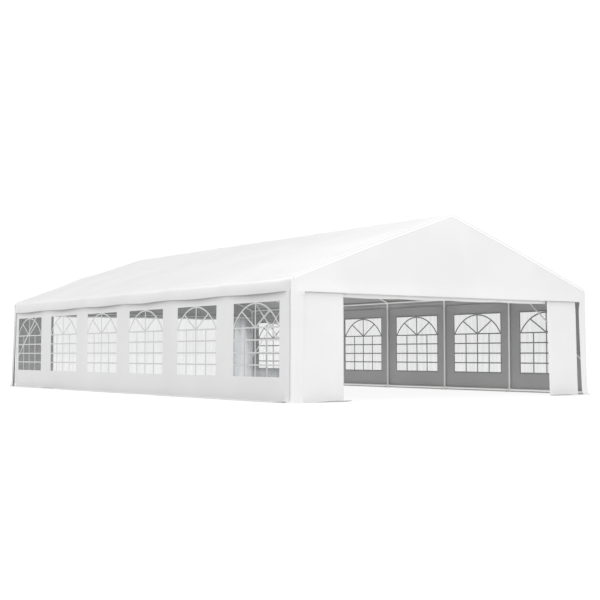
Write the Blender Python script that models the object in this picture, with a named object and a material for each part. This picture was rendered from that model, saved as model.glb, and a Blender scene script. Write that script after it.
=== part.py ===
# A marquee tent: seven tube frames two metres apart under a white pitched cover,
# with window walls along both sides and an open doorway in each gable.
# Units are metres, +Z is up, the front gable faces -Y, and the origin lies on the
# ground under the middle of the tent.

import bmesh
import bpy
from math import atan2, cos, pi, radians, sin, tan
from mathutils import Matrix, Vector

# Driving dimensions
BAY = 2.0
BAYS = 6
FRAME_HALF_WIDTH = 3.445
EAVE_HEIGHT = 2.015
RIDGE_HEIGHT = 3.255
RAFTER_CAMBER = 0.02
BEND_RADIUS = 0.1

TUBE_RADIUS = 0.019
SLEEVE_RADIUS = 0.024
CROSSBAR_RADIUS = 0.016
BRACE_RADIUS = 0.0125
TUBE_SIDES = 8
SLEEVE_LENGTH = 0.11
SLEEVE_HALF = 0.06
SLEEVE_STEP = 0.001
END_SLEEVE_OUT = 0.02
END_SLEEVE_IN = 0.09
PURLIN_STUB = 0.01
BORE_CLEARANCE = 0.0004
GAP = 0.0003

FOOT_SIZE = 0.1
FOOT_THICKNESS = 0.005
FOOT_EDGE = 0.022
GROUND_BAR_HEIGHT = 0.05

CLOTH = 0.005
FILM = 0.002
VALANCE_BOTTOM = 1.8
VALANCE_DIP = 0.015
COVER_SAG = 0.025
COVER_LIP = 0.0034
GABLE_BOTTOM = 1.795
FLAP = 0.16

WALL_TOP = 1.93
WALL_END = 5.98
LEFT_WALL_BACK_END = 5.86
FLAP_END = 5.85
WINDOW_WIDTH = 1.419
WINDOW_BOTTOM = 0.409
WINDOW_TOP = 1.65
FILM_MARGIN = 0.05

DOOR_PANEL_TOP = 1.88
FRONT_PANEL_WIDTH = 1.056
FRONT_RIGHT_PANEL_OUTER = 3.215
BACK_PANEL_WIDTH = 1.016
CROSSBAR_HEIGHT = 1.81
ROLL_RADIUS = 0.032
ROLL_SIDES = 12
ROLL_CLEARANCE = 0.018

LEG_COVER_GABLE_WIDTH = 0.25
LEG_COVER_SIDE_WIDTH = 0.17
BACK_LEFT_LEG_WIDTH = 0.1
LEG_COVER_TOP = GABLE_BOTTOM - GAP

BRACE_FOOT = 0.66
BRACE_RUN = 1.56
BRACE_FOOT_OVERRUN = 0.005
BRACE_HEAD_OVERRUN = 0.03

# Sizes that follow from the driving ones
HALF_LENGTH = BAY * BAYS / 2
FRAME_PLACES = [BAY * index - HALF_LENGTH for index in range(BAYS + 1)]
MID_X = FRAME_HALF_WIDTH / 2
MID_HEIGHT = (EAVE_HEIGHT + RIDGE_HEIGHT) / 2 + RAFTER_CAMBER
LOWER_PITCH = atan2(MID_HEIGHT - EAVE_HEIGHT, MID_X)
UPPER_PITCH = atan2(RIDGE_HEIGHT - MID_HEIGHT, MID_X)
EAVE_TURN = pi / 2 - LOWER_PITCH
EAVE_TANGENT = BEND_RADIUS * tan(EAVE_TURN / 2)
EAVE_CENTRE = Vector((FRAME_HALF_WIDTH - BEND_RADIUS, EAVE_HEIGHT - EAVE_TANGENT))
RIDGE_CENTRE = Vector((0, RIDGE_HEIGHT - BEND_RADIUS / cos(UPPER_PITCH)))
SOCKET_BOTTOM = EAVE_HEIGHT - EAVE_TANGENT - SLEEVE_LENGTH

# The tubes have flat facets, so what lies against them is seated on a facet.
FACET = cos(pi / TUBE_SIDES)
ROLL_FACET = cos(pi / ROLL_SIDES)
WALL_INNER = FRAME_HALF_WIDTH + SLEEVE_RADIUS * FACET + GAP
WALL_OUTER = WALL_INNER + CLOTH
SLOPE_OFFSET = SLEEVE_RADIUS + GAP
VALANCE_OFFSET = WALL_OUTER + GAP - FRAME_HALF_WIDTH
PANEL_INNER = HALF_LENGTH + SLEEVE_RADIUS * FACET + GAP
PANEL_OUTER = PANEL_INNER + CLOTH
GABLE_INNER = PANEL_OUTER + GAP
GABLE_OUTER = GABLE_INNER + CLOTH
COVER_END = GABLE_OUTER + COVER_LIP


def clear_scene():
    for item in list(bpy.data.objects):
        bpy.data.objects.remove(item, do_unlink=True)


def make_material(name, colour, roughness, metallic=0.0, alpha=1.0):
    material = bpy.data.materials.new(name)
    material.use_nodes = True
    shader = material.node_tree.nodes["Principled BSDF"]
    shader.inputs["Base Color"].default_value = (*colour, 1.0)
    shader.inputs["Roughness"].default_value = roughness
    shader.inputs["Metallic"].default_value = metallic
    shader.inputs["Alpha"].default_value = alpha
    return material


def finish_mesh(name, shape):
    """Turn a bmesh into a mesh with its faces pointing out."""
    bmesh.ops.recalc_face_normals(shape, faces=shape.faces)
    mesh = bpy.data.meshes.new(name)
    shape.to_mesh(mesh)
    shape.free()
    return mesh


def place(name, mesh, material, location=(0, 0, 0), turn=0.0):
    """Add a named sub-part that shows the given mesh."""
    if not mesh.materials:
        mesh.materials.append(material)
    item = bpy.data.objects.new(name, mesh)
    item.location = location
    item.rotation_euler = (0, 0, turn)
    bpy.context.scene.collection.objects.link(item)
    return item


def combine(base, operand, operation):
    """Return the mesh that a Boolean of two meshes leaves, and drop both."""
    first = bpy.data.objects.new("base", base)
    second = bpy.data.objects.new("operand", operand)
    for item in (first, second):
        bpy.context.scene.collection.objects.link(item)
    step = first.modifiers.new("join", "BOOLEAN")
    step.operation = operation
    step.solver = "EXACT"
    step.object = second
    graph = bpy.context.evaluated_depsgraph_get()
    result = bpy.data.meshes.new_from_object(first.evaluated_get(graph))
    for item in (first, second):
        bpy.data.objects.remove(item, do_unlink=True)
    return result


def add_cylinder(shape, start, end, radius, sides=TUBE_SIDES):
    """Add a closed straight tube between two points, with a flat at its top."""
    start = Vector(start)
    end = Vector(end)
    run = end - start
    across = Vector((0, 0, 1)) if abs(run.normalized().z) < 0.9 else Vector((1, 0, 0))
    side = run.cross(across).normalized()
    rise = side.cross(run).normalized()
    rings = []
    for centre in (start, end):
        ring = []
        for index in range(sides):
            angle = 2 * pi * (index + 0.5) / sides
            ring.append(shape.verts.new(centre + radius * (cos(angle) * side + sin(angle) * rise)))
        rings.append(ring)
    for index in range(sides):
        after = (index + 1) % sides
        shape.faces.new((rings[0][index], rings[0][after], rings[1][after], rings[1][index]))
    shape.faces.new(rings[0])
    shape.faces.new(rings[1])


def cylinders(name, runs, radius, sides=TUBE_SIDES):
    shape = bmesh.new()
    for start, end in runs:
        add_cylinder(shape, start, end, radius, sides)
    return finish_mesh(name, shape)


def boxes(name, extents):
    """Make one mesh of boxes, each given by its lowest and highest corner."""
    shape = bmesh.new()
    for low, high in extents:
        low = Vector(low)
        high = Vector(high)
        size = Matrix.Diagonal((*(high - low), 1))
        bmesh.ops.create_cube(shape, size=1, matrix=Matrix.Translation((low + high) / 2) @ size)
    return finish_mesh(name, shape)


def prism(name, outline, axis, low, high):
    """Extrude an outline along Y (points are x, z) or along Z (points are x, y)."""
    shape = bmesh.new()
    rings = []
    for level in (low, high):
        if axis == "Y":
            rings.append([shape.verts.new((x, level, z)) for x, z in outline])
        else:
            rings.append([shape.verts.new((x, y, level)) for x, y in outline])
    count = len(outline)
    for index in range(count):
        after = (index + 1) % count
        shape.faces.new((rings[0][index], rings[0][after], rings[1][after], rings[1][index]))
    shape.faces.new(rings[0])
    shape.faces.new(rings[1])
    return finish_mesh(name, shape)


def eave_point(offset, share):
    """A point on the bend at the right eave, from the post (0) to the rafter (1)."""
    angle = share * EAVE_TURN
    return EAVE_CENTRE + (BEND_RADIUS + offset) * Vector((cos(angle), sin(angle)))


def ridge_point(offset, share):
    """A point on the bend at the ridge, from the right rafter (0) to the middle (1)."""
    angle = pi / 2 - UPPER_PITCH * (1 - share)
    return RIDGE_CENTRE + (BEND_RADIUS + offset) * Vector((cos(angle), sin(angle)))


def rafter_start(reach):
    """A point on the right rafter, reach above the end of the eave's bend."""
    return eave_point(0, 1) + reach * Vector((-cos(LOWER_PITCH), sin(LOWER_PITCH)))


def middle_point(offset):
    """The point above the purlin that runs halfway up the right slope."""
    normal = Vector((sin(LOWER_PITCH) + sin(UPPER_PITCH), cos(LOWER_PITCH) + cos(UPPER_PITCH)))
    return Vector((MID_X, MID_HEIGHT)) + offset * normal.normalized()


def purlin_axes():
    """Where the five purlins cross each frame: name, x and z."""
    eave = eave_point(0, 0.5)
    ridge = ridge_point(0, 1)
    return [
        ("left_eave_purlin", -eave.x, eave.y),
        ("left_slope_purlin", -MID_X, MID_HEIGHT),
        ("ridge_purlin", ridge.x, ridge.y),
        ("right_slope_purlin", MID_X, MID_HEIGHT),
        ("right_eave_purlin", eave.x, eave.y),
    ]


def swept_tube(name, path):
    """Sweep a tube along points (x, z, radius) in the XZ plane."""
    shape = bmesh.new()
    rings = []
    for index, (x, z, radius) in enumerate(path):
        before = Vector(path[max(index - 1, 0)][:2])
        after = Vector(path[min(index + 1, len(path) - 1)][:2])
        run = (after - before).normalized()
        ring = []
        for step in range(TUBE_SIDES):
            angle = 2 * pi * (step + 0.5) / TUBE_SIDES
            lift = radius * sin(angle)
            ring.append(shape.verts.new((x - run.y * lift, radius * cos(angle), z + run.x * lift)))
        rings.append(ring)
    for lower, upper in zip(rings, rings[1:]):
        for step in range(TUBE_SIDES):
            after = (step + 1) % TUBE_SIDES
            shape.faces.new((lower[step], lower[after], upper[after], upper[step]))
    shape.faces.new(rings[0])
    shape.faces.new(rings[-1])
    return finish_mesh(name, shape)


def eave_path():
    """The line of a right post's top: its socket, the bend and the rafter's sleeve."""
    path = [(FRAME_HALF_WIDTH, SOCKET_BOTTOM, TUBE_RADIUS)]
    path.append((FRAME_HALF_WIDTH, SOCKET_BOTTOM + SLEEVE_STEP, SLEEVE_RADIUS))
    for step in range(4):
        point = eave_point(0, step / 3)
        path.append((point.x, point.y, SLEEVE_RADIUS))
    point = rafter_start(SLEEVE_LENGTH)
    path.append((point.x, point.y, SLEEVE_RADIUS))
    return path


def frame_path():
    """The line of one roof frame, from the left eave's sleeve over the ridge to the right."""
    point = rafter_start(SLEEVE_LENGTH + GAP)
    half = [(point.x, point.y, TUBE_RADIUS), (MID_X, MID_HEIGHT, TUBE_RADIUS)]
    corner = ridge_point(0, 0)
    along = Vector((cos(UPPER_PITCH), -sin(UPPER_PITCH)))
    for radius, reach in ((TUBE_RADIUS, SLEEVE_LENGTH + SLEEVE_STEP), (SLEEVE_RADIUS, SLEEVE_LENGTH)):
        point = corner + along * reach
        half.append((point.x, point.y, radius))
    half.append((corner.x, corner.y, SLEEVE_RADIUS))
    top = ridge_point(0, 1)
    right = half + [(top.x, top.y, SLEEVE_RADIUS)]
    left = [(-x, z, radius) for x, z, radius in half]
    return left + right[::-1]


def add_sleeves(mesh, places, is_end):
    """Add a sleeve along Y at each place (x, z) and bore it for the tube that it carries.

    A piece of an end frame is drawn as the front one: its sleeves reach inwards, towards +Y.
    """
    low = -END_SLEEVE_OUT if is_end else -SLEEVE_HALF
    high = END_SLEEVE_IN if is_end else SLEEVE_HALF
    bore_low = -PURLIN_STUB if is_end else low - 0.01
    sleeves = [((x, low, z), (x, high, z)) for x, z in places]
    bores = [((x, bore_low, z), (x, high + 0.01, z)) for x, z in places]
    mesh = combine(mesh, cylinders("sleeves", sleeves, SLEEVE_RADIUS), "UNION")
    return combine(mesh, cylinders("bores", bores, TUBE_RADIUS + BORE_CLEARANCE), "DIFFERENCE")


def frame_mesh(is_end):
    """One roof frame, with sleeves for the ridge purlin and both slope purlins."""
    places = [(x, z) for name, x, z in purlin_axes() if "eave" not in name]
    return add_sleeves(swept_tube("roof_frame", frame_path()), places, is_end)


def post_mesh(is_end):
    """A right post on its foot plate, bent over at the eave to take the roof frame.

    Its two sleeves carry the ground bar and the eave purlin, and its plate reaches
    inwards from the walls. The post's own line is at x = 0.
    """
    low_y = -FOOT_EDGE if is_end else -FOOT_SIZE / 2
    plate_low = (FOOT_EDGE - FOOT_SIZE, low_y, 0)
    plate_high = (FOOT_EDGE, low_y + FOOT_SIZE, FOOT_THICKNESS)
    path = [(0, FOOT_THICKNESS / 2, TUBE_RADIUS)]
    path += [(x - FRAME_HALF_WIDTH, z, radius) for x, z, radius in eave_path()]
    mesh = boxes("post", [(plate_low, plate_high)])
    mesh = combine(mesh, swept_tube("tube", path), "UNION")
    eave = eave_point(0, 0.5)
    places = [(0, GROUND_BAR_HEIGHT), (eave.x - FRAME_HALF_WIDTH, eave.y)]
    return add_sleeves(mesh, places, is_end)


def mirrored(mesh, name):
    """A copy of a mesh mirrored from the right side to the left."""
    shape = bmesh.new()
    shape.from_mesh(mesh)
    bmesh.ops.scale(shape, vec=(-1, 1, 1), verts=shape.verts)
    return finish_mesh(name, shape)


def add_posts(steel):
    middle = post_mesh(False)
    end = post_mesh(True)
    middle_left = mirrored(middle, "middle_left_post")
    end_left = mirrored(end, "end_left_post")
    for index, place_y in enumerate(FRAME_PLACES):
        number = index + 1
        is_front = index == 0
        is_back = index == BAYS
        right_mesh = middle
        left_mesh = middle_left
        turn = 0.0
        if is_front:
            right_mesh = end
            left_mesh = end_left
        if is_back:
            right_mesh = end_left
            left_mesh = end
            turn = pi
        place(f"right_post_{number}", right_mesh, steel, (FRAME_HALF_WIDTH, place_y, 0), turn)
        place(f"left_post_{number}", left_mesh, steel, (-FRAME_HALF_WIDTH, place_y, 0), turn)


def add_frames(steel):
    middle = frame_mesh(False)
    end = frame_mesh(True)
    for index, place_y in enumerate(FRAME_PLACES):
        is_end = index in (0, BAYS)
        turn = pi if index == BAYS else 0.0
        place(f"roof_frame_{index + 1}", end if is_end else middle, steel, (0, place_y, 0), turn)


def add_long_tubes(steel):
    """Purlins and ground bars run the whole length through the sleeves."""
    reach = HALF_LENGTH + PURLIN_STUB - GAP
    axes = purlin_axes()
    axes.append(("left_ground_bar", -FRAME_HALF_WIDTH, GROUND_BAR_HEIGHT))
    axes.append(("right_ground_bar", FRAME_HALF_WIDTH, GROUND_BAR_HEIGHT))
    for name, x, z in axes:
        place(name, cylinders(name, [((x, -reach, z), (x, reach, z))], TUBE_RADIUS), steel)


def add_crossbars(steel):
    reach = FRAME_HALF_WIDTH - TUBE_RADIUS * FACET - GAP
    for name, end in (("front_crossbar", -1), ("back_crossbar", 1)):
        y = end * HALF_LENGTH
        run = [((-reach, y, CROSSBAR_HEIGHT), (reach, y, CROSSBAR_HEIGHT))]
        place(name, cylinders(name, run, CROSSBAR_RADIUS), steel)


def add_braces(steel):
    """A brace lies against the inner side of a corner post and of the eave purlin."""
    eave = eave_point(0, 0.5)
    inset = (TUBE_RADIUS + BRACE_RADIUS) * FACET + GAP
    foot_x = FRAME_HALF_WIDTH - inset
    head_x = eave.x - inset
    for end_name, end in (("front", -1), ("back", 1)):
        for side_name, side in (("left", -1), ("right", 1)):
            foot = Vector((side * foot_x, end * HALF_LENGTH, BRACE_FOOT))
            head = Vector((side * head_x, end * (HALF_LENGTH - BRACE_RUN), eave.y))
            along = (head - foot).normalized()
            foot = foot - along * BRACE_FOOT_OVERRUN
            head = head + along * BRACE_HEAD_OVERRUN
            name = f"{end_name}_{side_name}_brace"
            place(name, cylinders(name, [(foot, head)], BRACE_RADIUS), steel)


def cover_half(thickness, sag, dip):
    """The right half of the cover's section, from the valance's hem to the ridge.

    thickness is added outwards from the cover's underside. The cover sinks by sag
    between its purlins, and the hem hangs lower by dip.
    """
    offset = VALANCE_OFFSET + thickness
    points = [Vector((FRAME_HALF_WIDTH + offset, VALANCE_BOTTOM - dip))]
    for step in range(5):
        share = step / 4
        blend = VALANCE_OFFSET + (SLOPE_OFFSET - VALANCE_OFFSET) * share
        points.append(eave_point(blend + thickness, share))
    offset = SLOPE_OFFSET + thickness
    stations = [eave_point(offset, 1), middle_point(offset), ridge_point(offset, 0)]
    for low, high in zip(stations, stations[1:]):
        for step in range(1, 5):
            share = step / 4
            point = low.lerp(high, share)
            point.y -= sag * sin(pi * share)
            points.append(point)
    points.append(ridge_point(offset, 1))
    return points


def cover_section(thickness, sag, dip):
    """The whole section of the cover, from the left hem to the right hem."""
    half = cover_half(thickness, sag, dip)
    left = [Vector((-point.x, point.y)) for point in half]
    return left + half[-2::-1]


def add_roof_cover(cloth):
    """One sheet over all frames, with a rounded eave and a valance on each long side."""
    places = [-COVER_END]
    for index in range(2 * BAYS + 1):
        places.append(index * BAY / 2 - HALF_LENGTH)
    places.append(COVER_END)
    shape = bmesh.new()
    sheets = []
    for index, y in enumerate(places):
        in_bay = index % 2 == 0 and 0 < index < len(places) - 1
        sag = COVER_SAG if in_bay else 0.0
        dip = VALANCE_DIP if in_bay else 0.0
        rows = []
        for thickness in (0.0, CLOTH):
            section = cover_section(thickness, sag, dip)
            rows.append([shape.verts.new((point.x, y, point.y)) for point in section])
        sheets.append(rows)
    count = len(sheets[0][0])
    for here, there in zip(sheets, sheets[1:]):
        for layer in (0, 1):
            for index in range(count - 1):
                quad = (here[layer][index], here[layer][index + 1],
                        there[layer][index + 1], there[layer][index])
                shape.faces.new(quad)
        for edge in (0, count - 1):
            shape.faces.new((here[0][edge], here[1][edge], there[1][edge], there[0][edge]))
    for rows in (sheets[0], sheets[-1]):
        for index in range(count - 1):
            shape.faces.new((rows[0][index], rows[0][index + 1], rows[1][index + 1], rows[1][index]))
    place("roof_cover", finish_mesh("roof_cover", shape), cloth)


def add_gables(cloth):
    """Each gable is the triangle under the cover, with a band down to the doorway."""
    half = cover_half(-GAP, 0.0, 0.0)
    half[0] = Vector((half[0].x, GABLE_BOTTOM))
    outline = [(-point.x, point.y) for point in half] + [(point.x, point.y) for point in half[-2::-1]]
    place("front_gable", prism("front_gable", outline, "Y", -GABLE_OUTER, -GABLE_INNER), cloth)
    place("back_gable", prism("back_gable", outline, "Y", GABLE_INNER, GABLE_OUTER), cloth)


def add_leg_covers(cloth):
    """An angle of cloth hangs outside each corner, from the cover to the ground."""
    inner = FRAME_HALF_WIDTH + VALANCE_OFFSET
    outer = inner + CLOTH
    for end_name, end in (("front", -1), ("back", 1)):
        for side_name, side in (("left", -1), ("right", 1)):
            is_narrow = end_name == "back" and side_name == "left"
            side_width = BACK_LEFT_LEG_WIDTH if is_narrow else LEG_COVER_SIDE_WIDTH
            corners = [
                (outer, GABLE_OUTER),
                (outer - LEG_COVER_GABLE_WIDTH, GABLE_OUTER),
                (outer - LEG_COVER_GABLE_WIDTH, GABLE_INNER),
                (inner, GABLE_INNER),
                (inner, GABLE_OUTER - side_width),
                (outer, GABLE_OUTER - side_width),
            ]
            outline = [(side * x, end * y) for x, y in corners]
            name = f"{end_name}_{side_name}_leg_cover"
            place(name, prism(name, outline, "Z", GAP, LEG_COVER_TOP), cloth)


def add_walls(cloth, film):
    """Each long wall is one sheet with a window in every bay and a flap on the ground."""
    for side_name, side in (("left", -1), ("right", 1)):
        back_end = LEFT_WALL_BACK_END if side_name == "left" else WALL_END
        sheet = [((WALL_INNER, -WALL_END, GAP), (WALL_OUTER, back_end, WALL_TOP))]
        holes = []
        for place_y in FRAME_PLACES[:-1]:
            middle = place_y + BAY / 2
            low = (WALL_INNER - 0.01, middle - WINDOW_WIDTH / 2, WINDOW_BOTTOM)
            high = (WALL_OUTER + 0.01, middle + WINDOW_WIDTH / 2, WINDOW_TOP)
            holes.append((low, high))
        flap = [((WALL_OUTER - 0.001, -FLAP_END, GAP), (WALL_OUTER + FLAP, FLAP_END, GAP + CLOTH))]
        mesh = combine(boxes("wall", sheet), boxes("holes", holes), "DIFFERENCE")
        mesh = combine(mesh, boxes("flap", flap), "UNION")
        if side_name == "left":
            mesh = mirrored(mesh, "left_wall")
        place(f"{side_name}_wall", mesh, cloth)
        near = side * (WALL_INNER - GAP - FILM)
        far = side * (WALL_INNER - GAP)
        reach = HALF_LENGTH - BAY / 2 + WINDOW_WIDTH / 2 + FILM_MARGIN
        low = (min(near, far), -reach, WINDOW_BOTTOM - FILM_MARGIN)
        high = (max(near, far), reach, WINDOW_TOP + FILM_MARGIN)
        place(f"{side_name}_window_film", boxes("window_film", [(low, high)]), film)


def add_doorways(cloth):
    """Plain panels stand beside each doorway, and its door is rolled up over it."""
    sides = [
        ("front_left_door_panel", -1, -1, FRONT_PANEL_WIDTH, WALL_INNER - GAP),
        ("front_right_door_panel", -1, 1, FRONT_PANEL_WIDTH, FRONT_RIGHT_PANEL_OUTER),
        ("back_left_door_panel", 1, -1, BACK_PANEL_WIDTH, WALL_INNER - GAP),
        ("back_right_door_panel", 1, 1, BACK_PANEL_WIDTH, WALL_INNER - GAP),
    ]
    for name, end, side, width, outer in sides:
        inner = WALL_OUTER - width
        xs = sorted((side * inner, side * outer))
        sheet_y = sorted((end * PANEL_INNER, end * PANEL_OUTER))
        flap_y = sorted((end * (PANEL_OUTER - 0.001), end * (PANEL_OUTER + FLAP)))
        flap_outer = min(outer, WALL_OUTER - LEG_COVER_GABLE_WIDTH - 0.01)
        flap_x = sorted((side * inner, side * flap_outer))
        sheet = [((xs[0], sheet_y[0], GAP), (xs[1], sheet_y[1], DOOR_PANEL_TOP))]
        flap = [((flap_x[0], flap_y[0], GAP), (flap_x[1], flap_y[1], GAP + CLOTH))]
        place(name, combine(boxes(name, sheet), boxes("flap", flap), "UNION"), cloth)
    rolls = [
        ("front_rolled_door", -1, FRONT_PANEL_WIDTH),
        ("back_rolled_door", 1, BACK_PANEL_WIDTH),
    ]
    height = CROSSBAR_HEIGHT - CROSSBAR_RADIUS * FACET - GAP - ROLL_RADIUS * ROLL_FACET
    for name, end, width in rolls:
        reach = WALL_OUTER - width - ROLL_CLEARANCE
        y = end * (GABLE_INNER - GAP - ROLL_RADIUS * ROLL_FACET)
        run = [((-reach, y, height), (reach, y, height))]
        place(name, cylinders(name, run, ROLL_RADIUS, ROLL_SIDES), cloth)


def shade_round_pieces():
    for item in bpy.context.scene.objects:
        item.data.shade_smooth()
        item.data.set_sharp_from_angle(angle=radians(50))


def build():
    clear_scene()
    steel = make_material("white_painted_steel", (0.82, 0.82, 0.82), 0.35)
    cloth = make_material("white_coated_cloth", (0.86, 0.86, 0.86), 0.55)
    film = make_material("clear_window_film", (0.9, 0.92, 0.93), 0.12, alpha=0.35)
    add_posts(steel)
    add_frames(steel)
    add_long_tubes(steel)
    add_crossbars(steel)
    add_braces(steel)
    add_roof_cover(cloth)
    add_gables(cloth)
    add_leg_covers(cloth)
    add_walls(cloth, film)
    add_doorways(cloth)
    shade_round_pieces()


build()
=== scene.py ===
# A marquee tent, twelve metres long and seven wide: white coated cloth on a white steel
# tube frame, with window walls along both sides and an open doorway in each gable.
# Units are metres, +Z is up, and the front gable faces -Y.

from math import atan2, cos, exp, pi, radians, sin, tan

import bmesh
import bpy
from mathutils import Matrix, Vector, noise


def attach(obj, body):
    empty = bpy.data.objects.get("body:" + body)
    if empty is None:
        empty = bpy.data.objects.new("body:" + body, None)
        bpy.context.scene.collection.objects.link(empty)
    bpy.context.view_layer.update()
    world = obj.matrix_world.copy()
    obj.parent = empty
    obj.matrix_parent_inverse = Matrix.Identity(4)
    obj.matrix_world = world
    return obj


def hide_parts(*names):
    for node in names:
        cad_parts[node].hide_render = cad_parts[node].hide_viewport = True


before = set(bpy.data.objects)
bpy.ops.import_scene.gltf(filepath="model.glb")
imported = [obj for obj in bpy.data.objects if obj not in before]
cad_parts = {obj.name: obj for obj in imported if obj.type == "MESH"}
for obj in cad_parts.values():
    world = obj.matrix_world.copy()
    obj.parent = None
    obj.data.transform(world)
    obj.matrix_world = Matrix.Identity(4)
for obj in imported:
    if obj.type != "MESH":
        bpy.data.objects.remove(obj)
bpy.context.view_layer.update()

# Frame sizes
BAY = 2.0
BAYS = 6
FRAME_HALF_WIDTH = 3.445
EAVE_HEIGHT = 2.015
RIDGE_HEIGHT = 3.255
RAFTER_CAMBER = 0.02
BEND_RADIUS = 0.1
TUBE_RADIUS = 0.019
SLEEVE_RADIUS = 0.024
SLEEVE_LENGTH = 0.11
SLEEVE_HALF = 0.06
END_SLEEVE_OUT = 0.02
END_SLEEVE_IN = 0.09
CROSSBAR_RADIUS = 0.016
CROSSBAR_HEIGHT = 1.81
BRACE_RADIUS = 0.0125
BRACE_FOOT = 0.66
BRACE_RUN = 1.56
FOOT_SIZE = 0.1
FOOT_EDGE = 0.022
FOOT_THICKNESS = 0.005
GROUND_BAR_HEIGHT = 0.05
ROUND_SIDES = 24

# Cloth sizes
CLOTH = 0.0014
FILM = 0.0008
HEM = 0.035
COVER_OFFSET = 0.0272
COVER_SAG = 0.03
FRAME_LIFT = 0.008
VALANCE_BOTTOM = 1.8
VALANCE_DIP = 0.018
VALANCE_FLARE = 0.075
SLEEVE_LIFT = 0.03
RAKE_RADIUS = 0.036
RAKE_HANG = 0.008
GABLE_BOTTOM = 1.795
GABLE_PLANE = 6.031
GABLE_FLARE = 0.045
CORNER_GROOVE = 0.011
CORNER_PLANE = 3.4775
CORNER_RADIUS = 0.014
SIDE_STRIP_TOP = 1.955
WALL_TOP = 1.86
WALL_RECESS = 0.03
WALL_END = 5.98
LEFT_WALL_BACK_END = 5.86
WALL_PLANE = 3.4712
FLAP = 0.16
FLAP_BEND = 0.02
WALL_BELLY = 0.02
WINDOW_WIDTH = 1.419
WINDOW_BOTTOM = 0.409
WINDOW_TOP = 1.65
FILM_MARGIN = 0.03
BAR_WIDTH = 0.026
UPRIGHT_BAR_WIDTH = 0.032
BAR_HEIGHTS = (0.602, 0.808, 1.022)
SPRING_HEIGHT = 1.228
COLUMN_STEP = 0.354
PANEL_TOP = 1.88
PANEL_PLANE = 6.0262
FRONT_PANEL_WIDTH = 1.056
BACK_PANEL_WIDTH = 1.016
FRONT_RIGHT_PANEL_OUTER = 3.187
WALL_OUTER = 3.4725
PANEL_OUTER = WALL_OUTER - 0.004
ROLL_RADIUS = 0.03
ROLL_CORE = 0.006
ROLL_PITCH = 0.0016
ROLL_CLEARANCE = 0.018
ROLL_SETBACK = 0.03
WEAVE_PERIOD = 0.012

# Patches of film that are folded and white, or clearer than the rest: centre, reach along
# each axis and change of the haze
FOLDED_FILM = (
    ((-3.47, -4.5, 0.75), (1.0, 0.48, 0.75), 0.55),
    ((-3.47, -5.2, 0.42), (1.0, 0.8, 0.16), 0.25),
)
CLEAREST_FILM = (
    ((-3.47, -5.35, 1.0), (1.0, 0.5, 0.7), -0.06),
    ((3.47, 5.0, 1.03), (1.0, 1.6, 1.4), -0.12),
)

# Sizes that follow from those
HALF_LENGTH = BAY * BAYS / 2
FRAME_PLACES = [BAY * index - HALF_LENGTH for index in range(BAYS + 1)]
MID_X = FRAME_HALF_WIDTH / 2
MID_HEIGHT = (EAVE_HEIGHT + RIDGE_HEIGHT) / 2 + RAFTER_CAMBER
LOWER_PITCH = atan2(MID_HEIGHT - EAVE_HEIGHT, MID_X)
UPPER_PITCH = atan2(RIDGE_HEIGHT - MID_HEIGHT, MID_X)
EAVE_TURN = pi / 2 - LOWER_PITCH
EAVE_TANGENT = BEND_RADIUS * tan(EAVE_TURN / 2)
EAVE_CENTRE = Vector((FRAME_HALF_WIDTH - BEND_RADIUS, EAVE_HEIGHT - EAVE_TANGENT))
RIDGE_CENTRE = Vector((0, RIDGE_HEIGHT - BEND_RADIUS / cos(UPPER_PITCH)))
SOCKET_BOTTOM = EAVE_HEIGHT - EAVE_TANGENT - SLEEVE_LENGTH
ROLL_HEIGHT = CROSSBAR_HEIGHT - CROSSBAR_RADIUS - ROLL_RADIUS
ROLL_PLACE = GABLE_PLANE - ROLL_RADIUS - ROLL_SETBACK
SIDES = (("left", -1), ("right", 1))
ENDS = (("front", -1), ("back", 1))


# Colours and materials

def linear(hex_colour):
    """Turn an sRGB hex colour into the linear values that a shader takes."""
    values = []
    for place in (1, 3, 5):
        share = int(hex_colour[place:place + 2], 16) / 255
        values.append(share / 12.92 if share <= 0.04045 else ((share + 0.055) / 1.055) ** 2.4)
    return (*values, 1.0)


def add_node(tree, kind, values=None, links=None, **settings):
    """Add a shader node with its settings, the values of its sockets and their links."""
    node = tree.nodes.new(f"ShaderNode{kind}")
    for name, value in settings.items():
        setattr(node, name, value)
    for socket, value in (values or {}).items():
        node.inputs[socket].default_value = value
    for socket, source in (links or {}).items():
        tree.links.new(source, node.inputs[socket])
    return node


def new_material(name, **values):
    """Make a material whose shader has the given socket values."""
    material = bpy.data.materials.new(name)
    material.use_nodes = True
    shader = material.node_tree.nodes["Principled BSDF"]
    for socket, value in values.items():
        shader.inputs[socket.replace("_", " ")].default_value = value
    return material, material.node_tree, shader


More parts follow.
